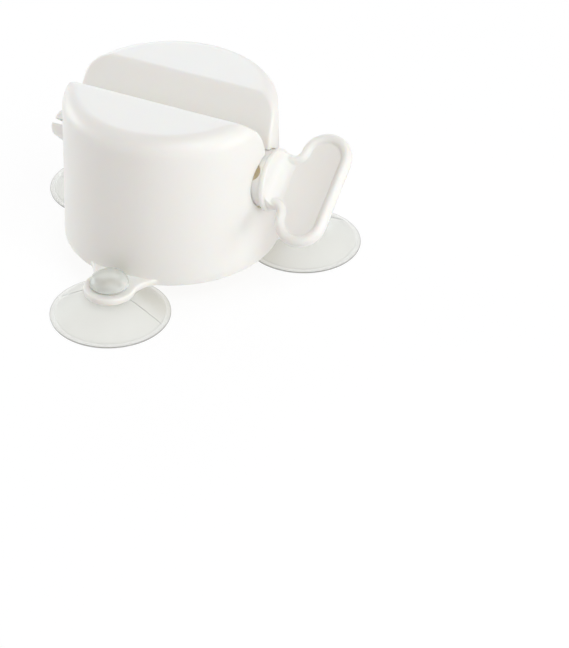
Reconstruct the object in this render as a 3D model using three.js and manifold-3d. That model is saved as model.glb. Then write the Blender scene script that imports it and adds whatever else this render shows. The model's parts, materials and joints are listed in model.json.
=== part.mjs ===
// A tube squeezer for the wash basin: a drum-shaped housing with a funnel groove across
// its top, a winding key that runs through it under the groove, and three suction cups
// in the ears around its foot. The tube's tail goes down the groove into the fork of the
// key, and turning the handle winds the tail up inside the drum.
// Lengths are in millimetres and +Z is up. +X runs along the key towards its handle, and
// the origin is the middle of the whole object, on the surface that the cups stand on.

import * as THREE from "three";
import { mergeVertices } from "three/addons/utils/BufferGeometryUtils.js";
import Module from "manifold-3d";

const wasm = await Module();
wasm.setup();

// Driving dimensions
const drumTopRadius = 35;
const drumHeight = 53;
const drumLift = 8.4;
const wallThickness = 2;
const mouthWidth = 20.6;
const grooveDepth = 14.2;
const slitWidth = 2.4;
const lipLength = 0.8;
const hubRadius = 9.6;
const shaftRadius = 4.9;
const handleSpan = 40.2;
const handleWidth = 17.3;
const cupRadius = 19.7;
const cupNeckRadius = 3.2;
const earCount = 3;

// Clearances and cuts
const turningGap = 0.3;
const hubClearance = 0.1;
const overrun = 2;

// How finely round shapes are drawn
const drumSides = 80;
const keySides = 40;
const cupSides = 40;
const quarterTurn = Math.PI / 2;
const fullTurn = 2 * Math.PI;
const degree = Math.PI / 180;

// Places that several pieces share
const drumTop = drumLift + drumHeight;
const throatHeight = drumTop - grooveDepth;
const keyAxisHeight = throatHeight - lipLength - hubClearance - hubRadius;

const pureWhite = { color: 0xf4f3ef, roughness: 0.42, metalness: 0 };
const clearVinyl = {
  color: 0xe9ebe8,
  roughness: 0.15,
  metalness: 0,
  transparent: true,
  opacity: 0.4,
};

// Turns a closed geometry into a solid that can be joined and cut.
function solidOf(geometry) {
  const bare = new THREE.BufferGeometry();
  bare.setAttribute("position", geometry.getAttribute("position"));
  bare.setIndex(geometry.getIndex());
  const merged = mergeVertices(bare);
  const corners = merged.index.array;
  const kept = [];
  for (let i = 0; i < corners.length; i += 3) {
    const [a, b, c] = corners.slice(i, i + 3);
    if (a !== b && b !== c && c !== a) kept.push(a, b, c);
  }
  const build = (triangles) =>
    new wasm.Manifold(
      new wasm.Mesh({
        numProp: 3,
        vertProperties: Float32Array.from(merged.attributes.position.array),
        triVerts: Uint32Array.from(triangles),
      }),
    );
  const solid = build(kept);
  return solid.volume() < 0 ? build(kept.reverse()) : solid;
}

// Gives a solid back as a named mesh with its own material.
function meshOf(name, solid, finish) {
  const data = solid.getMesh();
  const geometry = new THREE.BufferGeometry();
  geometry.setAttribute("position", new THREE.BufferAttribute(data.vertProperties, 3));
  geometry.setIndex(new THREE.BufferAttribute(data.triVerts, 1));
  geometry.computeVertexNormals();
  const mesh = new THREE.Mesh(geometry, new THREE.MeshStandardMaterial(finish));
  mesh.name = name;
  return mesh;
}

// Revolves a profile of [radius, height] pairs round +Z.
function revolveUp(profile, sides) {
  const points = profile.map(([radius, height]) => new THREE.Vector2(radius, height));
  return new THREE.LatheGeometry(points, sides).rotateX(quarterTurn);
}

// Revolves a profile of [distance along X, radius] pairs round +X.
function revolveAlong(profile, sides) {
  const points = profile.map(([along, radius]) => new THREE.Vector2(radius, along));
  return new THREE.LatheGeometry(points, sides).rotateZ(-quarterTurn);
}

// Points on a quarter round from angle start to angle end about a centre.
function arcPoints(centreA, centreB, radius, start, end, steps) {
  return Array.from({ length: steps + 1 }, (_, i) => {
    const angle = start + ((end - start) * i) / steps;
    return [centreA + radius * Math.cos(angle), centreB + radius * Math.sin(angle)];
  });
}

// An outline drawn in the YZ plane and pushed along X from one place to another.
function alongX(shape, from, to, curveSegments) {
  const solid = new THREE.ExtrudeGeometry(shape, {
    depth: to - from,
    bevelEnabled: false,
    curveSegments,
  });
  // The outline's own x and y become Y and Z, and its depth becomes X.
  const axes = new THREE.Matrix4().makeBasis(
    new THREE.Vector3(0, 1, 0),
    new THREE.Vector3(0, 0, 1),
    new THREE.Vector3(1, 0, 0),
  );
  return solid.applyMatrix4(axes).translate(from, 0, 0);
}

// The drum's outside radius at a height: the wall leans out a little towards its foot.
const drumDraft = 1.2;
const drumFootRadius = drumTopRadius + drumDraft;
const drumEdgeRadius = 6;
function drumRadiusAt(height) {
  return drumTopRadius + (drumDraft * (drumTop - height)) / drumHeight;
}

// Where the drum's outside crosses the key's axis.
const drumReach = drumRadiusAt(keyAxisHeight);

// The solid drum before it is hollowed, with its rounded top edge.
function drumBody() {
  const roundingSteps = 6;
  return revolveUp(
    [
      [0, drumLift],
      [drumFootRadius, drumLift],
      ...arcPoints(
        drumTopRadius - drumEdgeRadius,
        drumTop - drumEdgeRadius,
        drumEdgeRadius,
        0,
        quarterTurn,
        roundingSteps,
      ),
      [0, drumTop],
    ],
    drumSides,
  );
}

// The hollow inside the drum, one wall in from the outside and open at the foot.
function drumHollow() {
  const roundingSteps = 3;
  const insideEdgeRadius = Math.max(drumEdgeRadius - wallThickness, wallThickness);
  const insideTopRadius = drumTopRadius - wallThickness;
  return revolveUp(
    [
      [0, drumLift - overrun],
      [drumFootRadius - wallThickness, drumLift - overrun],
      ...arcPoints(
        insideTopRadius - insideEdgeRadius,
        drumTop - wallThickness - insideEdgeRadius,
        insideEdgeRadius,
        0,
        quarterTurn,
        roundingSteps,
      ),
      [0, drumTop - wallThickness],
    ],
    drumSides,
  );
}

// The funnel's wall as points from its rounded lip at the top down to the slit, each as
// half a width and a height: a blend off the flat top, then one long curve.
const mouthHalf = mouthWidth / 2;
const slitHalf = slitWidth / 2;
const mouthBlend = 1.1;
const bendWidthShare = 0.23;
const bendDepthShare = 0.46;
function funnelWall(steps) {
  const corner = new THREE.Vector2(mouthHalf, drumTop);
  const bend = new THREE.Vector2(mouthHalf * bendWidthShare, drumTop - grooveDepth * bendDepthShare);
  const towardsBend = bend.clone().sub(corner).setLength(mouthBlend);
  const blendEnd = corner.clone().add(towardsBend);
  const lip = new THREE.QuadraticBezierCurve(
    new THREE.Vector2(mouthHalf + mouthBlend, drumTop),
    corner,
    blendEnd,
  );
  const wall = new THREE.QuadraticBezierCurve(
    blendEnd,
    bend,
    new THREE.Vector2(slitHalf, throatHeight),
  );
  const lipSteps = 3;
  return [...lip.getPoints(lipSteps), ...wall.getPoints(steps).slice(1)];
}

// A closed outline from a right-hand side that runs downwards, mirrored to the left.
function mirroredShape(side) {
  const left = side.map((point) => new THREE.Vector2(-point.x, point.y)).reverse();
  return new THREE.Shape([...side, ...left]);
}

// The funnel and the slit under it, cut right through the drum along X.
const funnelSteps = 8;
function grooveCut() {
  const wall = funnelWall(funnelSteps);
  const side = [
    new THREE.Vector2(mouthHalf + mouthBlend, drumTop + overrun),
    ...wall,
    new THREE.Vector2(slitHalf, keyAxisHeight),
  ];
  const reach = drumFootRadius + overrun;
  return alongX(mirroredShape(side), -reach, reach);
}

// The funnel's skin as it hangs into the hollow: its wall, one wall thickness further out.
function funnelSkin() {
  const wall = funnelWall(funnelSteps);
  const outer = wall.map((point, i) => {
    const before = wall[Math.max(i - 1, 0)];
    const after = wall[Math.min(i + 1, wall.length - 1)];
    const along = after.clone().sub(before).normalize();
    const outwards = new THREE.Vector2(-along.y, along.x);
    return point.clone().addScaledVector(outwards, wallThickness);
  });
  const belowTop = outer.filter((point) => point.y < drumTop - wallThickness);
  const first = belowTop[0];
  const side = [
    new THREE.Vector2(first.x + wallThickness, drumTop + overrun),
    new THREE.Vector2(first.x + wallThickness, drumTop - wallThickness),
    ...belowTop,
    new THREE.Vector2(slitHalf + wallThickness / 2, throatHeight - lipLength),
  ];
  return alongX(mirroredShape(side), -drumFootRadius - overrun, drumFootRadius + overrun);
}

// One ear, lying along +X from the drum's wall to its round end, with its cup's hole.
const earReach = 7.6;
const cupRing = drumFootRadius + earReach;
const earThickness = 2.4;
const earEndRadius = 8.4;
const earRootHalf = 15;
const earHoleRadius = cupNeckRadius + turningGap;
function ear() {
  const flareStart = 105 * degree;
  const rootX = Math.sqrt(drumFootRadius ** 2 - earRootHalf ** 2) - wallThickness / 2;
  const startX = cupRing + earEndRadius * Math.cos(flareStart);
  const startY = earEndRadius * Math.sin(flareStart);
  const flareBendX = (rootX + startX) / 2;
  const shape = new THREE.Shape();
  shape.moveTo(rootX, -earRootHalf);
  shape.quadraticCurveTo(flareBendX, -startY, startX, -startY);
  shape.absarc(cupRing, 0, earEndRadius, -flareStart, flareStart, false);
  shape.quadraticCurveTo(flareBendX, startY, rootX, earRootHalf);
  const hole = new THREE.Path();
  hole.absarc(cupRing, 0, earHoleRadius, 0, fullTurn, true);
  shape.holes.push(hole);
  const edgeRounding = 0.35;
  return new THREE.ExtrudeGeometry(shape, {
    depth: earThickness - 2 * edgeRounding,
    bevelThickness: edgeRounding,
    bevelSize: edgeRounding,
    bevelOffset: -edgeRounding,
    bevelSegments: 2,
    curveSegments: 10,
  }).translate(0, 0, drumLift + edgeRounding);
}

// The middle of ear number i round the drum: the first one faces the user.
const firstEarAngle = -quarterTurn;
function earAngle(i) {
  return firstEarAngle + (fullTurn * i) / earCount;
}

// Holes for the key: the hub turns in the right-hand wall, the shaft in the left-hand one.
const hubHoleRadius = hubRadius + turningGap;
const shaftHoleRadius = shaftRadius + turningGap;
function keyHoles(hubStart) {
  const outside = drumFootRadius + overrun;
  const round = (from, to, radius) =>
    revolveAlong(
      [
        [from, 0],
        [from, radius],
        [to, radius],
        [to, 0],
      ],
      keySides,
    ).translate(0, 0, keyAxisHeight);
  const right = solidOf(round(hubStart - turningGap, outside, hubHoleRadius));
  return right.add(solidOf(round(-outside, 0, shaftHoleRadius)));
}

// The winding key along its own axis, from the snap tips on the left to the handle.
const hubLength = 3.4;
const hubProud = 1;
const hubEnd = drumReach + hubProud;
const hubStart = drumReach - hubLength;
const collarOverhang = 0.9;
const collarRadius = hubRadius + collarOverhang;
const collarThickness = 1.8;
const collarEdge = 0.4;
const collarFront = hubEnd + collarThickness;
const snapPlay = 0.5;
const snapBarb = 1.3;
const snapRadius = shaftRadius + snapBarb;
const snapLand = 1.4;
const snapTaper = 5.8;
const tipDrop = 0.7;
const tipRadius = shaftRadius - tipDrop;
const snapShoulder = -(drumReach + snapPlay);
const tipEnd = snapShoulder - snapLand - snapTaper;
const hubTaper = 2;
function shaftBody() {
  return revolveAlong(
    [
      [tipEnd, 0],
      [tipEnd, tipRadius - collarEdge],
      [tipEnd + collarEdge, tipRadius],
      [snapShoulder - snapLand, snapRadius],
      [snapShoulder, snapRadius],
      [snapShoulder, shaftRadius],
      [hubStart - hubTaper, shaftRadius],
      [hubStart, hubRadius],
      [hubEnd, hubRadius],
      [hubEnd, collarRadius - collarEdge],
      [hubEnd + collarEdge, collarRadius],
      [collarFront - collarEdge, collarRadius],
      [collarFront, collarRadius - collarEdge],
      [collarFront, 0],
    ],
    keySides,
  );
}

// The fillet between the collar's face and both sides of the handle's panel. It runs
// across the whole panel and stays inside the collar's round outline.
const panelThickness = 2;
const filletRadius = 5.5;
const filletInset = 1;
function panelFillet() {
  const filletSteps = 6;
  const panelHalf = panelThickness / 2;
  const root = collarRadius - filletInset;
  const startX = collarFront - collarThickness / 2;
  const hollow = arcPoints(
    collarFront + filletRadius,
    panelHalf + filletRadius,
    filletRadius,
    Math.PI,
    3 * quarterTurn,
    filletSteps,
  );
  const upper = [[startX, panelHalf + filletRadius], ...hollow];
  const lower = upper.map(([x, y]) => [x, -y]).reverse();
  const points = [...upper, ...lower].map(([x, y]) => new THREE.Vector2(x, y));
  const across = new THREE.ExtrudeGeometry(new THREE.Shape(points), {
    depth: 2 * root,
    bevelEnabled: false,
  }).translate(0, 0, -root);
  const outline = revolveAlong(
    [
      [startX - overrun, 0],
      [startX - overrun, root],
      [collarFront + filletRadius + overrun, root],
      [collarFront + filletRadius + overrun, 0],
    ],
    keySides,
  );
  return solidOf(across).intersect(solidOf(outline));
}

// The slot that takes the tube's tail: narrow between the snap tips, wider with a round
// end at the hub, and turned a little from square to the handle. At its open end it also
// takes a little off the rear prong, so that the front prong is the longer one.
const slotTipWidth = 1.4;
const slotRootWidth = 5.6;
const slotTurn = 14.9 * degree;
const slotFloor = 2.6;
const rearProngStep = 1;
const slotEnd = collarFront - slotFloor;
function forkSlot() {
  const tipHalf = slotTipWidth / 2;
  const rootHalf = slotRootWidth / 2;
  const roundCentre = slotEnd - rootHalf;
  const reach = hubRadius + overrun;
  const rearProngEnd = tipEnd + rearProngStep;
  const shape = new THREE.Shape();
  shape.moveTo(tipEnd - overrun, -tipHalf);
  shape.lineTo(roundCentre, -rootHalf);
  shape.absarc(roundCentre, 0, rootHalf, -quarterTurn, quarterTurn, false);
  shape.lineTo(rearProngEnd, tipHalf);
  shape.lineTo(rearProngEnd, reach);
  shape.lineTo(tipEnd - overrun, reach);
  const depth = 2 * reach;
  return new THREE.ExtrudeGeometry(shape, { depth, bevelEnabled: false, curveSegments: 8 })
    .translate(0, 0, -depth / 2)
    .rotateX(quarterTurn + slotTurn);
}

// The handle's outline in the XZ plane, as points with outward normals: a neck, two
// hollow corners and a bar with round ends. It starts at the neck's foot.
const neckInset = 0.1;
const neckHalf = hubRadius - neckInset;
const neckCorner = 2.2;
const neckLength = 4.6;
const barFace = collarFront + neckLength;
const handleTip = barFace + handleWidth;
function handleOutline() {
  const barEndRadius = handleWidth / 2;
  const barMiddle = barFace + barEndRadius;
  const barEndCentre = handleSpan / 2 - barEndRadius;
  const foot = hubEnd - hubLength / 2;
  const cornerX = barFace - neckCorner;
  const cornerZ = neckHalf + neckCorner;
  const upper = [];
  const put = (x, z, nx, nz) => upper.push({ x, z, nx, nz });
  const neckSteps = 3;
  for (let i = 0; i < neckSteps; i += 1) {
    put(foot + ((cornerX - foot) * i) / neckSteps, neckHalf, 0, 1);
  }
  const cornerSteps = 6;
  for (let i = 0; i <= cornerSteps; i += 1) {
    const a = -quarterTurn + (quarterTurn * i) / cornerSteps;
    put(cornerX + neckCorner * Math.cos(a), cornerZ + neckCorner * Math.sin(a), -Math.cos(a), -Math.sin(a));
  }
  const endSteps = 18;
  for (let i = 0; i <= endSteps; i += 1) {
    const a = Math.PI - (Math.PI * i) / endSteps;
    put(
      barMiddle + barEndRadius * Math.cos(a),
      barEndCentre + barEndRadius * Math.sin(a),
      Math.cos(a),
      Math.sin(a),
    );
  }
  const lower = upper.map(({ x, z, nx, nz }) => ({ x, z: -z, nx, nz: -nz })).reverse();
  return [...upper, ...lower];
}

// The handle: a thin panel inside a round bead that follows the whole outline. Each ring
// of points is the outline moved inwards, and raised as the bead's half round is.
const beadWidth = 3.4;
const beadThickness = 5;
function handleBody() {
  const outline = handleOutline();
  const panelHalf = panelThickness / 2;
  const beadHalf = beadThickness / 2;
  const lastAngle = Math.PI - Math.asin(panelHalf / beadHalf);
  const halfWidth = beadWidth / (1 - Math.cos(lastAngle));
  const ringSteps = 6;
  const positions = [];
  const addRing = (angle, side) => {
    const inwards = halfWidth * (1 - Math.cos(angle));
    const raised = side * beadHalf * Math.sin(angle);
    outline.forEach(({ x, z, nx, nz }) => positions.push(x - nx * inwards, raised, z - nz * inwards));
  };
  for (let ring = -ringSteps; ring <= ringSteps; ring += 1) {
    addRing((lastAngle * Math.abs(ring)) / ringSteps, Math.sign(ring));
  }
  const count = outline.length;
  const index = [];
  for (let ring = 0; ring < 2 * ringSteps; ring += 1) {
    for (let i = 0; i < count; i += 1) {
      const a = ring * count + i;
      const b = ring * count + ((i + 1) % count);
      index.push(a, b, a + count, b, b + count, a + count);
    }
  }
  const panel = [];
  for (let i = 0; i < count; i += 1) {
    panel.push(new THREE.Vector2(positions[3 * i], positions[3 * i + 2]));
  }
  const faces = THREE.ShapeUtils.triangulateShape(panel, []);
  const top = 2 * ringSteps * count;
  const flipped = THREE.ShapeUtils.isClockWise(panel);
  faces.forEach(([a, b, c]) => {
    const [p, q, r] = flipped ? [a, b, c] : [a, c, b];
    index.push(p, q, r, top + p, top + r, top + q);
  });
  const geometry = new THREE.BufferGeometry();
  geometry.setAttribute("position", new THREE.Float32BufferAttribute(positions, 3));
  geometry.setIndex(index);
  return geometry;
}

// A suction cup on its own axis: a shallow cone with a flat rim, a neck in the ear's hole
// and a domed head above the ear. Its underside is hollow.
const rimWidth = 2;
const rimThickness = 0.5;
const hollowHeight = 5.2;
const shoulderRadius = 5;
const headRadius = 6.3;
const headHeight = 4.6;
const headEdge = 1;
const earTop = drumLift + earThickness;
function suctionCup() {
  const shoulderTop = drumLift - turningGap;
  const headBase = earTop + turningGap;
  const coneShares = [0.28, 0.56, 0.82];
  const coneRise = shoulderTop - rimThickness;
  const cone = coneShares.map((share, i) => {
    const along = (i + 1) / (coneShares.length + 1);
    return [cupRadius + (shoulderRadius - cupRadius) * along, rimThickness + coneRise * share];
  });
  const hollowShares = [0.42, 0.78, 0.95];
  const hollowRadius = cupRadius - rimWidth;
  const hollow = hollowShares.map((share, i) => {
    const along = (i + 1) / (hollowShares.length + 1);
    return [hollowRadius * (1 - along), hollowHeight * share];
  });
  const domeSteps = 6;
  const dome = Array.from({ length: domeSteps + 1 }, (_, i) => {
    const angle = (quarterTurn * i) / domeSteps;
    return [
      headRadius * Math.cos(angle),
      headBase + headEdge + (headHeight - headEdge) * Math.sin(angle),
    ];
  });
  dome[domeSteps][0] = 0;
  return revolveUp(
    [
      [0, hollowHeight],
      ...hollow.reverse(),
      [hollowRadius, 0],
      [cupRadius, 0],
      [cupRadius, rimThickness],
      ...cone,
      [shoulderRadius, shoulderTop],
      [cupNeckRadius, shoulderTop],
      [cupNeckRadius, headBase],
      [headRadius - headEdge / 2, headBase],
      ...dome,
    ],
    cupSides,
  );
}

// The housing, made in one piece: drum, funnel, key holes and ears.
function housing() {
  let body = solidOf(drumBody());
  for (let i = 0; i < earCount; i += 1) {
    body = body.add(solidOf(ear().rotateZ(earAngle(i))));
  }
  const hollow = solidOf(drumHollow()).subtract(solidOf(funnelSkin()));
  return body.subtract(hollow).subtract(solidOf(grooveCut())).subtract(keyHoles(hubStart));
}

// The key, made in one piece: handle, collar, hub and slotted shaft.
function windingKey() {
  const whole = solidOf(shaftBody()).add(panelFillet()).add(solidOf(handleBody()));
  return whole.subtract(solidOf(forkSlot()));
}

// The object's extent, from which the origin is worked out.
const cupReachX = cupRing * Math.cos(earAngle(1)) + cupRadius;
const cupReachBack = cupRing * Math.sin(earAngle(1)) + cupRadius;
const cupReachFront = cupRing + cupRadius;
const middleX = (handleTip - cupReachX) / 2;
const middleY = (cupReachBack - cupReachFront) / 2;

const squeezer = new THREE.Group();
const standing = new THREE.Group();
standing.position.set(-middleX, -middleY, 0);
squeezer.add(standing);

standing.add(meshOf("housing", housing(), pureWhite));

// The key rests with its handle leaning back, its panel facing up and to the front.
const handleLean = 55 * degree;
const keyPlace = new THREE.Group();
keyPlace.position.z = keyAxisHeight;
keyPlace.rotation.x = -handleLean;
keyPlace.add(meshOf("winding_key", windingKey(), pureWhite));
standing.add(keyPlace);

const cupNames = ["front", "right", "left"];
const cupSolid = solidOf(suctionCup());
for (let i = 0; i < earCount; i += 1) {
  const cup = meshOf("suction_cup_" + (cupNames[i] ?? i + 1), cupSolid, clearVinyl);
  const angle = earAngle(i);
  cup.position.set(cupRing * Math.cos(angle), cupRing * Math.sin(angle), 0);
  standing.add(cup);
}

export default squeezer;
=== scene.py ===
import json
import math

import bpy
import numpy as np
from mathutils import Matrix, Quaternion, Vector


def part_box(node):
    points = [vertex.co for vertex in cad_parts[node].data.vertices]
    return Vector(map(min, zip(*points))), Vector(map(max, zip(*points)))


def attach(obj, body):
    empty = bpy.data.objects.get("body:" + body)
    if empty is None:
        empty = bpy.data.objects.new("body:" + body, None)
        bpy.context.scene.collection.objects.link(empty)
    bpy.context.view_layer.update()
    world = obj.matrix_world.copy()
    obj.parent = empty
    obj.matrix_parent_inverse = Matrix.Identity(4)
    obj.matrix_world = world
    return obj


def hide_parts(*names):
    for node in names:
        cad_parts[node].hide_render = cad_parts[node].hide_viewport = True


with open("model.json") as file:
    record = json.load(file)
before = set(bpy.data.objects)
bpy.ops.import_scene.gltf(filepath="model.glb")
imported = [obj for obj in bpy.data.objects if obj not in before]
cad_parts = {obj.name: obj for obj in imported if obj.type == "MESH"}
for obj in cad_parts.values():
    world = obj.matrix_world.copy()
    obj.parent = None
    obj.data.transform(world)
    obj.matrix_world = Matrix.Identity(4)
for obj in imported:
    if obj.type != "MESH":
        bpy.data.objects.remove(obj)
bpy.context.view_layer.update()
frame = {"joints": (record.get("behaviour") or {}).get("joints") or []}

# The housing is one white moulding: a drum, open at its foot, with a funnel groove across
# its top, a round hole in each end wall for the key, and three ears for the suction cups.
mm = 0.001
degree = math.pi / 180
quarter_turn = math.pi / 2
joint_at = {joint["name"]: Vector(joint["pos_m"]) for joint in frame["joints"]}
key_height = joint_at["key_turn"].z
drum_middle = Vector((joint_at["key_turn"].x, joint_at["key_turn"].y, 0))
drum_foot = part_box("housing")[0].z
drum_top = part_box("housing")[1].z
top_radius = 35 * mm
foot_radius = 36.2 * mm
edge_radius = 6 * mm
foot_rounding = 0.4 * mm
wall = 2 * mm
corner_rounding = 0.9 * mm
running_gap = 0.3 * mm

# The groove's wall: a soft blend off the flat top, one long curve, then a straight slit.
mouth_half = 10.3 * mm
mouth_blend = 1.3 * mm
groove_depth = 14.2 * mm
slit_half = 1.2 * mm
bend_width_share = 0.23
bend_depth_share = 0.46
lip_length = 0.8 * mm
throat = drum_top - groove_depth


def bezier(start, bend, end, steps):
    """Points on a curve that leaves start towards bend and reaches end from it."""
    t = np.linspace(0, 1, steps + 1)[:, None]
    start, bend, end = map(np.asarray, (start, bend, end))
    return start * (1 - t) ** 2 + 2 * bend * t * (1 - t) + end * t**2


def groove_wall():
    """The groove's wall from the top down, as half widths and heights."""
    corner = np.array((mouth_half, drum_top))
    bend = np.array((mouth_half * bend_width_share, drum_top - groove_depth * bend_depth_share))
    blend_end = corner + (bend - corner) / np.linalg.norm(bend - corner) * mouth_blend
    blend = bezier((mouth_half + mouth_blend, drum_top), corner, blend_end, 24)
    return np.concatenate([blend, bezier(blend_end, bend, (slit_half, throat), 60)[1:]])


def offset_wall(line, distance):
    """A line of half widths and heights, moved away from the groove."""
    along = np.gradient(line, axis=0)
    along /= np.linalg.norm(along, axis=1)[:, None]
    return line + distance * np.stack([-along[:, 1], along[:, 0]], axis=1)


groove_line = groove_wall()[::-1]
skin_line = offset_wall(groove_wall(), wall)[::-1]
skin_line[:, 0] = np.maximum.accumulate(skin_line[:, 0])


def outside_radius(height):
    rise = drum_top - edge_radius - drum_foot
    if height > drum_top - edge_radius:
        over = min(height - (drum_top - edge_radius), edge_radius)
        return top_radius - edge_radius + math.sqrt(edge_radius**2 - over**2)
    radius = foot_radius + (top_radius - foot_radius) * (height - drum_foot) / rise
    if height < drum_foot + foot_rounding:
        under = drum_foot + foot_rounding - height
        radius -= foot_rounding - math.sqrt(max(foot_rounding**2 - under**2, 0))
    return radius


def inside_radius(height):
    inner_edge = edge_radius - wall
    ceiling = drum_top - wall
    if height > ceiling - inner_edge:
        over = min(height - (ceiling - inner_edge), inner_edge)
        return top_radius - wall - inner_edge + math.sqrt(inner_edge**2 - over**2)
    rise = ceiling - inner_edge - drum_foot
    return foot_radius - wall + (top_radius - foot_radius) * (height - drum_foot) / rise


def heights(low, high, step):
    return np.linspace(low, high, max(2, round((high - low) / step) + 1))


def half_moon(radius, half_width, height, rounding, arc_steps=80, corner_steps=5, wall_steps=16):
    """One level of the drum's rear half: a round back, a straight front and soft corners."""
    centre_y = half_width + rounding
    centre_x = math.sqrt((radius - rounding) ** 2 - centre_y**2)
    turn = math.atan2(centre_y, centre_x)
    corner = np.linspace(-quarter_turn, turn, corner_steps + 1)
    right = np.stack([centre_x + rounding * np.cos(corner), centre_y + rounding * np.sin(corner)], 1)
    back = np.linspace(turn, math.pi - turn, arc_steps + 1)[1:-1]
    arc = radius * np.stack([np.cos(back), np.sin(back)], 1)
    left = right[::-1] * (-1, 1)
    across = np.linspace(-centre_x, centre_x, wall_steps + 1)[1:-1]
    front = np.stack([across, np.full(wall_steps - 1, half_width)], 1)
    outline = np.concatenate([right, arc, left, front])
    return np.column_stack([outline, np.full(len(outline), height)])


def grooved_drum(radius_at, line, levels, split, rounding, cap_inset):
    """A solid drum, cut in two by a groove above the height split and whole below it."""
    corner_steps, arc_steps, gap_steps = 5, 80, 8
    points, faces = [], []

    def add(loop):
        first = sum(map(len, points))
        points.append(np.asarray(loop))
        return list(range(first, first + len(loop)))

    def bridge(lower, upper, flipped):
        for i in range(len(lower)):
            j = (i + 1) % len(lower)
            quad = (lower[i], lower[j], upper[j], upper[i])
            faces.append(quad[::-1] if flipped else quad)

    split_loops = []
    for side in (1, -1):
        below = None
        for height in [z for z in levels if z >= split]:
            half_width = np.interp(height, line[:, 1], line[:, 0])
            loop = half_moon(radius_at(height), half_width, height, rounding) * (1, side, 1)
            now = add(loop)
            if below is None:
                split_loops.append(now)
            else:
                bridge(below, now, side < 0)
            below = now
        inset = half_moon(
            radius_at(levels[-1]) - cap_inset, half_width + cap_inset, levels[-1], rounding
        )
        cap = add(inset * (1, side, 1))
        bridge(below, cap, side < 0)
        faces.append(tuple(cap) if side > 0 else tuple(cap[::-1]))

    rear, front = split_loops
    back_arc = slice(corner_steps, corner_steps + arc_steps + 1)
    rear_arc, front_arc = rear[back_arc], front[back_arc]
    rear_corners = rear[corner_steps + arc_steps :] + rear[: corner_steps + 1]
    front_corners = front[corner_steps + arc_steps :] + front[: corner_steps + 1]
    radius = radius_at(split)
    all_points = np.concatenate(points)
    turn = math.atan2(all_points[rear_arc[0]][1], all_points[rear_arc[0]][0])
    gap = np.linspace(-turn, turn, gap_steps + 1)[1:-1]
    right_gap = add(np.stack([radius * np.cos(gap), radius * np.sin(gap), gap * 0 + split], 1))
    left_gap = add(np.stack([-radius * np.cos(gap), -radius * np.sin(gap), gap * 0 + split], 1))
    faces.append(tuple(left_gap + front_corners + right_gap + rear_corners[::-1]))
    ring = rear_arc + left_gap + front_arc[::-1] + right_gap
    all_points = np.concatenate(points)
    angles = np.arctan2(all_points[ring][:, 1], all_points[ring][:, 0])
    for height in [z for z in levels if z < split][::-1]:
        radius = radius_at(height)
        level = [radius * np.cos(angles), radius * np.sin(angles), angles * 0 + height]
        lower = add(np.stack(level, 1))
        bridge(lower, ring, False)
        ring = lower
    faces.append(tuple(ring[::-1]))
    return np.concatenate(points), faces


def mesh_object(name, points, faces):
    mesh = bpy.data.meshes.new(name)
    mesh.from_pydata([tuple(p) for p in points], [], faces)
    mesh.validate()
    made = bpy.data.objects.new(name, mesh)
    bpy.context.scene.collection.objects.link(made)
    return made


def bake_modifiers(piece):
    """Applies the piece's modifiers to its mesh."""
    bpy.context.view_layer.update()
    shaped = bpy.data.meshes.new_from_object(piece.evaluated_get(bpy.context.evaluated_depsgraph_get()))
    piece.modifiers.clear()
    piece.data = shaped


def joined(piece, other, operation):
    """Joins another solid to the piece or cuts it out, and uses it up."""
    step = piece.modifiers.new("join", "BOOLEAN")
    step.object = other
    step.operation = operation
    step.solver = "MANIFOLD"
    bake_modifiers(piece)
    bpy.data.objects.remove(other)


def rounded_plate(outline, low, high, rounding, steps=4):
    """A plate on a closed outline, with rounded edges all round."""
    outline = np.asarray(outline)
    ahead = np.roll(outline, -1, axis=0) - outline
    ahead /= np.linalg.norm(ahead, axis=1)[:, None]
    along = ahead + np.roll(ahead, 1, axis=0)
    along /= np.linalg.norm(along, axis=1)[:, None]
    inwards = np.stack([-along[:, 1], along[:, 0]], 1)
    turns = np.linspace(0, quarter_turn, steps + 1)
    rings = [(rounding * 2, low)]
    rings += [(rounding * (1 - math.sin(a)), low + rounding * (1 - math.cos(a))) for a in turns]
    rings += [(rounding * (1 - math.cos(a)), high - rounding * (1 - math.sin(a))) for a in turns]
    rings += [(rounding * 2, high)]
    points, faces, count = [], [], len(outline)
    for inset, height in rings:
        points += [(*p, height) for p in outline + inwards * inset]
    for ring in range(len(rings) - 1):
        for i in range(count):
            a, b = ring * count + i, ring * count + (i + 1) % count
            faces.append((a, b, b + count, a + count))
    last = (len(rings) - 1) * count
    faces += [tuple(range(count))[::-1], tuple(range(last, last + count))]
    return points, faces


def wall_hole(name, radius, inner, side, mouth=0.25 * mm, count=96, steps=4):
    """A cutter for a round hole through the end wall, its mouth rounded along the wall."""
    around = np.linspace(0, 2 * math.pi, count, endpoint=False)
    turns = np.linspace(0, quarter_turn, steps + 1)
    rings = [(radius, None)]
    rings += [(radius + mouth * (1 - math.cos(a)), mouth * (1 - math.sin(a))) for a in turns]
    rings += [(radius + mouth, -2 * wall)]
    points, faces = [], []
    for ring_radius, depth in rings:
        for angle in around:
            y, z = ring_radius * math.cos(angle), key_height + ring_radius * math.sin(angle)
            surface = math.sqrt(outside_radius(z) ** 2 - y**2)
            x = inner if depth is None else surface - depth
            points.append((side * x, y, z))
    for ring in range(len(rings) - 1):
        for i in range(count):
            a, b = ring * count + i, ring * count + (i + 1) % count
            quad = (a, b, b + count, a + count)
            faces.append(quad if side > 0 else quad[::-1])
    first, last = tuple(range(count)), tuple(range((len(rings) - 1) * count, len(rings) * count))
    faces += [first[::-1], last] if side > 0 else [first, last[::-1]]
    return mesh_object(name, points, faces)


def evenly(count):
    return np.linspace(0, 2 * math.pi, count, endpoint=False)


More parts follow.
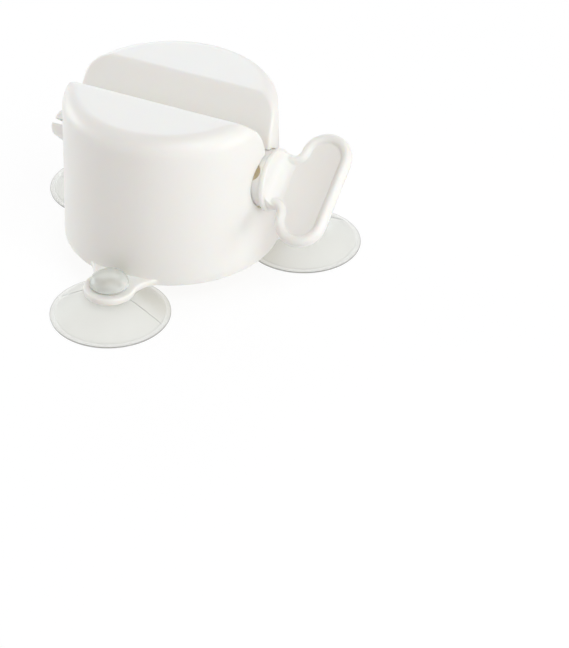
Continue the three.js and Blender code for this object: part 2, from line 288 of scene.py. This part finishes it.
def revolved(profile, around):
    """A closed solid from a profile of radius and height that starts and ends on the axis."""
    count = len(around)
    rings = profile[1:-1]
    points = [(0, 0, profile[0][1]), (0, 0, profile[-1][1])]
    for radius, height in rings:
        points += [(radius * math.cos(a), radius * math.sin(a), height) for a in around]
    faces = []
    for i in range(count):
        j = (i + 1) % count
        for ring in range(len(rings) - 1):
            base = 2 + ring * count
            faces.append((base + i, base + j, base + count + j, base + count + i))
        last = 2 + (len(rings) - 1) * count
        faces += [(0, 2 + j, 2 + i), (1, last + i, last + j)]
    return points, faces


hub_radius = 9.6 * mm
shaft_radius = 4.9 * mm
hub_length = 3.4 * mm
drum_reach = 35.5592 * mm
edge_turns = np.linspace(0, quarter_turn, 22)
outer_levels = np.concatenate([
    drum_foot + foot_rounding * (1 - np.cos(np.linspace(0, quarter_turn, 4))),
    heights(drum_foot + foot_rounding, key_height, 2.4 * mm)[1:],
    heights(key_height, throat, 1.2 * mm)[1:],
    heights(throat, drum_top - edge_radius, 0.5 * mm)[1:],
    drum_top - edge_radius * (1 - np.sin(edge_turns[1:])),
])
lip_end = throat - lip_length
ceiling = drum_top - wall
inner_edge = edge_radius - wall
inner_levels = np.concatenate([
    heights(drum_foot - wall, lip_end, 2.4 * mm),
    heights(lip_end, ceiling - inner_edge, 0.6 * mm)[1:],
    ceiling - inner_edge * (1 - np.sin(np.linspace(0, quarter_turn, 10)[1:])),
])
housing = mesh_object(
    "drum_housing",
    *grooved_drum(outside_radius, groove_line, outer_levels, key_height, corner_rounding, 0.4 * mm),
)

# Each ear is a flat tongue that flares into the drum's foot, with a hole for the cup's neck.
front_cup = joint_at["cup_swivel_front"]
ear_ring = (Vector((front_cup.x, front_cup.y, 0)) - drum_middle).length
ear_end_radius = 8.4 * mm
ear_root_half = 15 * mm
ear_thickness = 2.4 * mm
ear_rounding = 0.6 * mm
neck_radius = 3.2 * mm
flare_start = 105 * degree
ear_angles = [-90 * degree, 30 * degree, 150 * degree]


def ear_outline():
    root = math.sqrt(foot_radius**2 - ear_root_half**2) - wall / 2
    start_x = ear_ring + ear_end_radius * math.cos(flare_start)
    start_y = ear_end_radius * math.sin(flare_start)
    flare = bezier((root, ear_root_half), ((root + start_x) / 2, start_y), (start_x, start_y), 16)
    turns = np.linspace(-flare_start, flare_start, 49)
    end = np.stack([ear_ring + ear_end_radius * np.cos(turns), ear_end_radius * np.sin(turns)], 1)
    return np.concatenate([flare * (1, -1), end[1:-1], flare[::-1]])


def turned(points, angle):
    c, s = math.cos(angle), math.sin(angle)
    return [(x * c - y * s, x * s + y * c, z) for x, y, z in points]


ear_points, ear_faces = rounded_plate(ear_outline(), drum_foot, drum_foot + ear_thickness, ear_rounding)
hole_radius = neck_radius + running_gap
hole_height = 30 * mm
hole_profile = [(0, 0), (hole_radius, 0), (hole_radius, hole_height), (0, hole_height)]
for angle in ear_angles:
    joined(housing, mesh_object("ear", turned(ear_points, angle), ear_faces), "UNION")
hollow = grooved_drum(inside_radius, skin_line, inner_levels, lip_end, 1.2 * mm, 0.4 * mm)
joined(housing, mesh_object("hollow", *hollow), "DIFFERENCE")
joined(
    housing,
    wall_hole("hub_hole", hub_radius + running_gap, drum_reach - hub_length - running_gap, 1),
    "DIFFERENCE",
)
joined(housing, wall_hole("shaft_hole", shaft_radius + running_gap, 20 * mm, -1), "DIFFERENCE")
for angle in ear_angles:
    points, faces = revolved(hole_profile, evenly(64))
    points = [(x + ear_ring, y, z) for x, y, z in points]
    joined(housing, mesh_object("ear_hole", turned(points, angle), faces), "DIFFERENCE")


def mark(piece, name, share_at):
    """Stores a share for each of the piece's points, which its material reads."""
    shares = [float(share_at(point.co)) for point in piece.data.vertices]
    marks = piece.data.attributes.new(name, "FLOAT", "POINT")
    marks.data.foreach_set("value", shares)


def painted_glow_hollow_share(point):
    """1 on the walls of the drum's hollow, which get a painted amber glow for the light that comes
    through the plastic, or else 0.
    """
    near = 0.3 * mm
    inside = math.hypot(point.x, point.y) < inside_radius(min(point.z, ceiling)) + near
    beside = abs(point.y) > np.interp(point.z, skin_line[:, 1], skin_line[:, 0]) - near
    return inside and point.z < ceiling + near and (beside or point.z < lip_end)


# The hollow's walls are marked for the painted amber glow.
mark(housing, "painted_inner_glow", painted_glow_hollow_share)
housing.data.transform(Matrix.Translation(drum_middle))


def smooth(piece, sharpest):
    """Shades the piece smooth, apart from edges that turn more than the angle sharpest."""
    mesh = piece.data
    mesh.shade_smooth()
    mesh.set_sharp_from_angle(angle=sharpest)


smooth(housing, 38 * degree)


class Wire:
    """An output of a shader node that Python's operators work on."""

    def __init__(self, nodes, socket):
        self.nodes = nodes
        self.socket = socket

    def maths(self, operation, first, second):
        return self.nodes.node("ShaderNodeMath", {"operation": operation}, {0: first, 1: second})

    def __add__(self, other):
        return self.maths("ADD", self, other)

    def __radd__(self, other):
        return self.maths("ADD", other, self)

    def __sub__(self, other):
        return self.maths("SUBTRACT", self, other)

    def __rsub__(self, other):
        return self.maths("SUBTRACT", other, self)

    def __mul__(self, other):
        return self.maths("MULTIPLY", self, other)

    def __rmul__(self, other):
        return self.maths("MULTIPLY", other, self)

    def mixed(self, low, high):
        """The colour low where this value is 0 and high where it is 1."""
        sockets = {"Factor": self, "A": low, "B": high}
        return self.nodes.node("ShaderNodeMix", {"data_type": "RGBA"}, sockets, "Result")


class Nodes:
    """A node tree, to which any node is added with its settings and its sockets' values."""

    def __init__(self, tree):
        self.tree = tree

    def node(self, kind, settings, sockets, result=0):
        made = self.tree.nodes.new(kind)
        for name, value in settings.items():
            setattr(made, name, value)
        for name, value in sockets.items():
            self.set(self.socket(made.inputs, name), value)
        return None if result is None else Wire(self, self.socket(made.outputs, result))

    def socket(self, sockets, name):
        if isinstance(name, int):
            return sockets[name]
        return next(socket for socket in sockets if socket.name == name and socket.enabled)

    def set(self, socket, value):
        if isinstance(value, Wire):
            self.tree.links.new(value.socket, socket)
        else:
            socket.default_value = value

    def noise(self, place, per_metre, detail=2.0, roughness=0.5):
        sockets = {"Vector": place, "Scale": per_metre, "Detail": detail, "Roughness": roughness}
        return self.node("ShaderNodeTexNoise", {}, sockets)

    def place(self):
        return self.node("ShaderNodeTexCoord", {}, {}, "Object")


class Finish(Nodes):
    """A piece's material on a Principled shader, whose even values are set on its sockets."""

    def __init__(self, name, **even):
        self.material = bpy.data.materials.new(name)
        self.material.use_nodes = True
        super().__init__(self.material.node_tree)
        self.shader = self.tree.nodes["Principled BSDF"]
        self.feed(**even)

    def feed(self, **values):
        for name, value in values.items():
            self.set(self.shader.inputs[name.replace("_", " ")], value)


white_warm = (0.880, 0.866, 0.823, 1)
white_cool = (0.895, 0.884, 0.846, 1)
no_glow = (0, 0, 0, 1)
# painted glow: an amber emission on the walls of hollows, standing in for the warm light seen inside
# them
painted_amber_glow = (0.075, 0.05, 0.004, 1)


def moulded_white(name, flow_stretch):
    """White satin plastic: a faint spark texture, flow lines, patches of uneven gloss, and a painted
    amber glow on the walls of its hollows: an emission that stands in for the warm light seen inside
    them."""
    finish = Finish(
        name,
        IOR=1.49,
        Subsurface_Weight=0.6,
        Subsurface_Radius=(1.0, 0.8, 0.6),
        Subsurface_Scale=1.2 * mm,
        Emission_Strength=1,
    )
    place = finish.place()
    stretched = finish.node(
        "ShaderNodeVectorMath", {"operation": "MULTIPLY"}, {0: place, 1: flow_stretch}
    )
    clouds = finish.noise(place, 38, 3.0)
    flow = finish.noise(stretched, 90, 4.0, 0.6)
    spark = finish.noise(place, 3200, 2.0)
    grit = finish.noise(place, 9000, 1.0)
    height = spark * 0.6 + grit * 0.2 + clouds * 1.5
    # The painted amber glow: the plastic emits the amber colour where this mark is 1.
    inner = finish.node("ShaderNodeAttribute", {"attribute_name": "painted_inner_glow"}, {}, "Fac")
    finish.feed(
        Emission_Color=inner.mixed(no_glow, painted_amber_glow),
        Base_Color=(clouds * 0.7 + flow * 0.3).mixed(white_warm, white_cool),
        Roughness=0.34 + clouds * 0.06 + flow * 0.05 + spark * 0.04,
        Normal=finish.node(
            "ShaderNodeBump", {}, {"Strength": 0.35, "Distance": 0.02 * mm, "Height": height}
        ),
    )
    return finish.material


def dress(piece, material, body, node):
    """Gives the piece its material and lets it stand for its CAD node."""
    piece.data.materials.clear()
    piece.data.materials.append(material)
    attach(piece, body)
    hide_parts(node)


dress(housing, moulded_white("white_satin_drum", (1, 1, 0.25)), "housing", "housing")

# The winding key is one white moulding: a T handle of a thin panel in a round bead, a
# collar, a hub, and a shaft slotted from hub to tip, where its prongs end in snap tips.
hub_proud = 1 * mm
hub_end = drum_reach + hub_proud
hub_start = drum_reach - hub_length
hub_taper = 2 * mm
collar_radius = 10.5 * mm
collar_thickness = 1.8 * mm
collar_front = hub_end + collar_thickness
snap_shoulder = -(drum_reach + 0.5 * mm)
snap_radius = 6.2 * mm
snap_land = 1.4 * mm
tip_end = snap_shoulder - snap_land - 5.8 * mm
tip_radius = 4.2 * mm
panel_half = 1 * mm
fillet_radius = 5.5 * mm
fillet_half = collar_radius - 1 * mm
slot_tip_half = 0.7 * mm
slot_root_half = 2.8 * mm
slot_turn = 14.9 * degree
slot_end = collar_front - 2.6 * mm
rear_prong_step = 1 * mm
neck_half = 9.5 * mm
neck_corner = 2.2 * mm
bar_face = collar_front + 4.6 * mm
handle_width = 17.3 * mm
handle_half_span = 20.1 * mm
bead_width = 3.4 * mm
bead_half = 2.5 * mm
handle_lean = 55 * degree
voxel = 0.2 * mm


def handle_outline():
    """The handle's outline as places and outward directions in its own plane."""
    end_radius = handle_width / 2
    corner = np.array((bar_face - neck_corner, neck_half + neck_corner))
    bar = np.array((bar_face + end_radius, handle_half_span - end_radius))
    foot = hub_end - hub_length / 2
    straight = [((x, neck_half), (0, 1)) for x in np.linspace(foot, corner[0], 8)[:-1]]
    hollow = [
        (corner + neck_corner * np.array((math.cos(a), math.sin(a))), (-math.cos(a), -math.sin(a)))
        for a in np.linspace(-quarter_turn, 0, 14)
    ]
    end = [
        (bar + end_radius * np.array((math.cos(a), math.sin(a))), (math.cos(a), math.sin(a)))
        for a in np.linspace(math.pi, 0, 49)
    ]
    upper = np.array([(*p, *n) for p, n in straight + hollow + end])
    return np.concatenate([upper, upper[::-1] * (1, -1, 1, -1)])


def handle_shape():
    """Rings of the outline, moved inwards and raised along the bead's half round."""
    outline = handle_outline()
    last = math.pi - math.asin(panel_half / bead_half)
    half_width = bead_width / (1 - math.cos(last))
    turns = np.linspace(-last, last, 25)
    points, count = [], len(outline)
    for turn in turns:
        inwards = half_width * (1 - math.cos(turn))
        raised = bead_half * math.sin(turn)
        points += [(x - nx * inwards, raised, z - nz * inwards) for x, z, nx, nz in outline]
    faces = []
    for ring in range(len(turns) - 1):
        for i in range(count):
            a, b = ring * count + i, ring * count + (i + 1) % count
            faces.append((a, b, b + count, a + count))
    last_ring = (len(turns) - 1) * count
    faces += [tuple(range(count))[::-1], tuple(range(last_ring, last_ring + count))]
    return points, faces


def shaft_shape():
    rounding = 0.4 * mm
    profile = [
        (0, tip_end),
        (tip_radius - rounding, tip_end),
        (tip_radius, tip_end + rounding),
        (snap_radius, snap_shoulder - snap_land),
        (snap_radius, snap_shoulder),
        (shaft_radius, snap_shoulder),
        (shaft_radius, hub_start - hub_taper),
        (hub_radius, hub_start),
        (hub_radius, hub_end),
        (collar_radius - rounding, hub_end),
        (collar_radius, hub_end + rounding),
        (collar_radius, collar_front - rounding),
        (collar_radius - rounding, collar_front),
        (0, collar_front),
    ]
    points, faces = revolved(profile, evenly(128))
    return [(z, y, -x) for x, y, z in points], faces


def prism(outline, half_length):
    """A straight bar on an outline that runs left about, from -half_length to half_length."""
    count = len(outline)
    points = [(x, y, z) for z in (-half_length, half_length) for x, y in outline]
    faces = [(i, (i + 1) % count, (i + 1) % count + count, i + count) for i in range(count)]
    faces += [tuple(range(count))[::-1], tuple(range(count, 2 * count))]
    return points, faces


def fillet_shape():
    """A bar that fills the corners between the collar and the panel with a hollow round."""
    start = (collar_front - collar_thickness / 2, panel_half + fillet_radius)
    centre = np.array((collar_front, panel_half)) + fillet_radius
    turns = np.linspace(math.pi, 1.5 * math.pi, 17)
    hollow = [centre + fillet_radius * np.array((math.cos(a), math.sin(a))) for a in turns]
    upper = np.array([start, *hollow])
    return prism(np.concatenate([upper, upper[::-1] * (1, -1)])[::-1], fillet_half)


def slot_shape():
    reach = 2 * hub_radius
    turns = np.linspace(-quarter_turn, quarter_turn, 25)
    centre = slot_end - slot_root_half
    end = [(centre + slot_root_half * math.cos(a), slot_root_half * math.sin(a)) for a in turns]
    rear_end = tip_end + rear_prong_step
    open_end = [(rear_end, slot_tip_half), (rear_end, reach), (tip_end - wall, reach)]
    return prism([(tip_end - wall, -slot_tip_half), *end, *open_end], reach)


key = mesh_object("winding_key_moulding", *shaft_shape())
joined(key, mesh_object("handle", *handle_shape()), "UNION")
fillet = mesh_object("fillet", *fillet_shape())
round_bar = [(0, hub_start), (fillet_half, hub_start), (fillet_half, bar_face), (0, bar_face)]
ends = mesh_object("fillet_ends", *revolved(round_bar, evenly(96)))
ends.data.transform(Matrix.Rotation(quarter_turn, 4, "Y"))
joined(fillet, ends, "INTERSECT")
joined(key, fillet, "UNION")
slot = mesh_object("slot", *slot_shape())
slot.data.transform(Matrix.Rotation(quarter_turn + slot_turn, 4, "X"))
joined(key, slot, "DIFFERENCE")
melt = key.modifiers.new("melt", "REMESH")
melt.mode = "VOXEL"
melt.voxel_size = voxel
relax = key.modifiers.new("relax", "SMOOTH")
relax.factor = 0.5
relax.iterations = 2
thin = key.modifiers.new("thin", "DECIMATE")
thin.ratio = 0.2
bake_modifiers(key)


def painted_glow_slot_share(point):
    """1 on the slot's walls inside the hub, which get the painted amber glow, and 0 on the key's
    outside.
    """
    reach, blend, depth = 0.6 * mm, 0.3 * mm, 1.5 * mm
    apart = abs(point.z * math.cos(slot_turn) - point.y * math.sin(slot_turn))
    inside = (point.x - tip_end) / (slot_end - tip_end)
    half = slot_tip_half + (slot_root_half - slot_tip_half) * min(inside, 1)
    deep = (hub_radius + blend - math.hypot(point.y, point.z)) / depth
    near = (half + reach - apart) / blend
    in_hub = hub_start < point.x < slot_end + 0.5 * mm
    return min(1, max(0, near)) * min(1, max(0, deep)) * in_hub


# The slot's walls inside the hub are marked for the painted amber glow.
mark(key, "painted_inner_glow", painted_glow_slot_share)
key.data.transform(
    Matrix.Translation(joint_at["key_turn"]) @ Matrix.Rotation(-handle_lean, 4, "X")
)
smooth(key, 80 * degree)
key_white = moulded_white("white_satin_key", (0.25, 1, 1))
dress(key, key_white, "winding_key", "winding_key")

# Three suction cups of clear soft vinyl: a thin hollow cone with a flat rim, a neck that
# is pushed through the ear's hole, and a domed head that keeps it there.
cup_radius = 19.7 * mm
rim_width = 2 * mm
rim_thickness = 0.5 * mm
# painted shade: the least share on the rim, whose rounded outer edge gets up to full painted shade
rim_shade = 0.12
hollow_height = 5.2 * mm
shoulder_radius = 5 * mm
head_radius = 6.3 * mm
head_height = 4.6 * mm
head_edge = 1 * mm
cone_shares = [0, 0.28, 0.56, 0.82, 1]
hollow_shares = [0, 0.42, 0.78, 0.95, 1]
seam_width = 1.1 * degree
seam_height = 0.12 * mm
cup_sides = 144


def eased(shares, count):
    """More steps on the smooth line through evenly spaced shares."""
    at = np.linspace(0, 1, len(shares))
    fit = np.polyfit(at, shares, len(shares) - 1)
    return [(t, float(np.polyval(fit, t))) for t in np.linspace(0, 1, count)]


def cup_profile():
    """The cup's section from the hollow's middle to the dome's top, with the share of painted shade on
    the rim's edge at each point and the share by which the mould's seam stands out there."""
    shoulder_top = drum_foot - running_gap
    head_base = drum_foot + ear_thickness + running_gap
    cone_rise = shoulder_top - rim_thickness
    hollow_radius = cup_radius - rim_width
    half_rim = rim_thickness / 2
    hollow = [(hollow_radius * (1 - t), hollow_height * s) for t, s in eased(hollow_shares, 25)]
    profile = [(r, z, 0, 0) for r, z in hollow[::-1]]
    profile.append((cup_radius - 2 * half_rim, 0, rim_shade, 0))
    # The rim's rounded edge carries painted shade, darkest at its outermost point.
    for turn in np.linspace(-quarter_turn, quarter_turn, 9):
        r = cup_radius - half_rim * (1 - math.cos(turn))
        profile.append((r, half_rim * (1 + math.sin(turn)), max(rim_shade, math.cos(turn) ** 0.5), 0))
    for t, s in eased(cone_shares, 25)[1:]:
        r = cup_radius - half_rim + (shoulder_radius - cup_radius + half_rim) * t
        shade = rim_shade * min(1, max(0, (r - hollow_radius) / mm))
        profile.append((r, rim_thickness + cone_rise * s, shade, min(1, 6 * t, 6 - 6 * t)))
    profile.append((neck_radius + 0.4 * mm, shoulder_top, 0, 0))
    profile.append((neck_radius, shoulder_top + 0.4 * mm, 0, 0))
    profile.append((neck_radius, head_base, 0, 0))
    for turn in np.linspace(-quarter_turn, 0, 8)[:-1]:
        r = head_radius - head_edge * (1 - math.cos(turn))
        profile.append((r, head_base + head_edge * (1 + math.sin(turn)), 0, 0))
    for turn in np.linspace(0, quarter_turn, 21):
        z = head_base + head_edge + (head_height - head_edge) * math.sin(turn)
        profile.append((head_radius * math.cos(turn), z, 0, 0))
    profile[0] = (0, *profile[0][1:])
    profile[-1] = (0, *profile[-1][1:])
    return profile


def cup_mesh(name, seam_turn):
    """The cup turned from its section, with the mould's seam as a fine ridge on two sides."""
    profile = cup_profile()
    around = np.linspace(0, 2 * math.pi, cup_sides, endpoint=False)
    across = np.array((-1, -0.5, 0, 0.5, 1)) * seam_width / 2
    seam_at = [seam_turn % math.pi, seam_turn % math.pi + math.pi]

    def from_seam(angles):
        return np.min(
            [np.abs((angles - at + math.pi) % (2 * math.pi) - math.pi) for at in seam_at], axis=0
        )

    apart = from_seam(around)
    around = np.concatenate([around[apart > seam_width], *[at + across for at in seam_at]])
    around = np.sort(around % (2 * math.pi))
    ridge = np.clip(1 - from_seam(around) / (seam_width / 2), 0, 1)
    points, faces = revolved([(r, z) for r, z, dark, proud in profile], around)
    shade = [0.0, 0.0]
    for ring, (r, z, dark, proud) in enumerate(profile[1:-1]):
        # Painted shade on the rim's edge, and on the seam's ridge at 0.8.
        shade += list(np.maximum(dark, 0.8 * ridge * proud))
        for i in range(len(around)):
            x, y, height = points[2 + ring * len(around) + i]
            points[2 + ring * len(around) + i] = (x, y, height + seam_height * ridge[i] * proud)
    cup = mesh_object(name, points, faces)
    marks = cup.data.attributes.new("edge_shade", "FLOAT", "POINT")
    marks.data.foreach_set("value", np.array(shade, dtype=np.float32))
    return cup


def soft_vinyl(name, clearness, low, high):
    """Vinyl, a little milky and uneven, with painted shade along its rim's edge and its seam."""
    finish = Finish(name, IOR=1.5, Transmission_Weight=clearness)
    place = finish.place()
    clouds = finish.noise(place, 60, 3.0)
    specks = finish.noise(place, 1500, 2.0)
    edge = finish.node("ShaderNodeAttribute", {"attribute_name": "edge_shade"}, {}, "Fac")
    body = clouds.mixed(low, high)
    height = clouds * 2 + specks * 0.2
    finish.feed(
        # Painted shade: the colour turns near-black where the edge mark is 1.
        Base_Color=edge.mixed(body, (0.16, 0.16, 0.14, 1)),
        Roughness=0.16 + clouds * 0.12 + specks * 0.05,
        Normal=finish.node(
            "ShaderNodeBump", {}, {"Strength": 0.25, "Distance": 0.03 * mm, "Height": height}
        ),
    )
    return finish.material


vinyl = soft_vinyl("clear_vinyl", 0.8, (0.88, 0.88, 0.835, 1), (0.91, 0.91, 0.875, 1))
milky = soft_vinyl("milky_vinyl", 0.62, (0.90, 0.91, 0.86, 1), (0.94, 0.945, 0.91, 1))
seam_turns = {"front": 2 * degree, "right": 62 * degree, "left": 98 * degree}
for place, seam_turn in seam_turns.items():
    node = "suction_cup_" + place
    cup = cup_mesh("clear_cup_" + place, seam_turn)
    centre = joint_at["cup_swivel_" + place]
    cup.data.transform(Matrix.Translation((centre.x, centre.y, 0)))
    smooth(cup, 60 * degree)
    dress(cup, vinyl, node, node)
    cup.data.materials.append(milky)  # the thick domed head looks milkier than the thin cone
    for face in cup.data.polygons:
        face.material_index = int(face.center.z > drum_foot + ear_thickness)

# The studio: a pale floor and backdrop that show as white, a slightly warm sky, and four
# slightly cool soft lamps: low on the left and the right, and higher at the front and rear.
floor_half = 3
floor_corners = [(-floor_half, -floor_half, 0), (floor_half, -floor_half, 0)]
floor_corners += [(floor_half, floor_half, 0), (-floor_half, floor_half, 0)]
floor = mesh_object("floor", floor_corners, [(0, 1, 2, 3)])


def seen_by_camera(nodes):
    """1 on what the camera sees, also in a reflection or through the clear cups."""
    rays = ("Is Camera Ray", "Is Glossy Ray", "Is Transmission Ray")
    camera, glossy, transmission = [nodes.node("ShaderNodeLightPath", {}, {}, ray) for ray in rays]
    settings = {"operation": "ADD", "use_clamp": True}
    return nodes.node("ShaderNodeMath", settings, {0: camera + glossy, 1: transmission})


paper = bpy.data.materials.new("pale_floor")
paper.use_nodes = True
nodes = Nodes(paper.node_tree)
paper.node_tree.nodes.clear()
lit = nodes.node("ShaderNodeBsdfDiffuse", {}, {"Color": (0.9, 0.9, 0.9, 1)})
white = nodes.node("ShaderNodeEmission", {}, {"Strength": 1.03})
share = seen_by_camera(nodes) * 0.88
both = nodes.node("ShaderNodeMixShader", {}, {0: share, 1: lit, 2: white})
nodes.node("ShaderNodeOutputMaterial", {}, {"Surface": both}, None)
floor.data.materials.append(paper)

world = bpy.context.scene.world or bpy.data.worlds.new("sky")
bpy.context.scene.world = world
world.use_nodes = True
nodes = Nodes(world.node_tree)
world.node_tree.nodes.clear()
sky = nodes.node("ShaderNodeBackground", {}, {"Color": (1, 0.9, 0.88, 1), "Strength": 0.49})
backdrop = nodes.node("ShaderNodeBackground", {}, {"Color": (1, 1, 1, 1), "Strength": 1.0})
both = nodes.node("ShaderNodeMixShader", {}, {0: seen_by_camera(nodes), 1: sky, 2: backdrop})
nodes.node("ShaderNodeOutputWorld", {}, {"Surface": both}, None)


lamp_distance = 0.9
lamp_size = 0.5


def soft_lamp(name, azimuth, elevation, watts, tint):
    """A square lamp that faces the drum from a side and a height."""
    aim = drum_middle + Vector((0, 0, 25 * mm))
    a, e = azimuth * degree, elevation * degree
    back = Vector((math.sin(a) * math.cos(e), -math.cos(a) * math.cos(e), math.sin(e)))
    lamp = bpy.data.lights.new(name, "AREA")
    lamp.size = lamp_size
    lamp.energy = watts
    lamp.color = tint
    placed = bpy.data.objects.new(name, lamp)
    placed.location = aim + back * lamp_distance
    placed.rotation_mode = "QUATERNION"
    placed.rotation_quaternion = back.to_track_quat("Z", "Y")
    bpy.context.scene.collection.objects.link(placed)


soft_lamp("rear_left_lamp", -150, 25, 1.8, (0.72, 0.88, 1))
soft_lamp("left_lamp", -90, 5, 4.2, (0.86, 0.97, 1))
soft_lamp("right_lamp", 90, 5, 2.8, (0.97, 0.98, 1))
soft_lamp("front_lamp", 60, 50, 3.15, (0.85, 0.96, 1))

# The camera: a long lens that looks past the object, which stands up and left in the frame.
camera = bpy.data.objects.new("camera", bpy.data.cameras.new("camera"))
bpy.context.scene.collection.objects.link(camera)
bpy.context.scene.camera = camera
camera.data.sensor_width = 36
camera.data.lens = 132.392
camera.data.clip_start = 0.05
camera.data.clip_end = 20
camera.location = (0.317341, -0.577172, 0.450958)
camera.rotation_mode = "QUATERNION"
camera.rotation_quaternion = Quaternion((0.867944, 0.444432, 0.096545, 0.199579))

bpy.context.scene.view_settings.view_transform = "Standard"
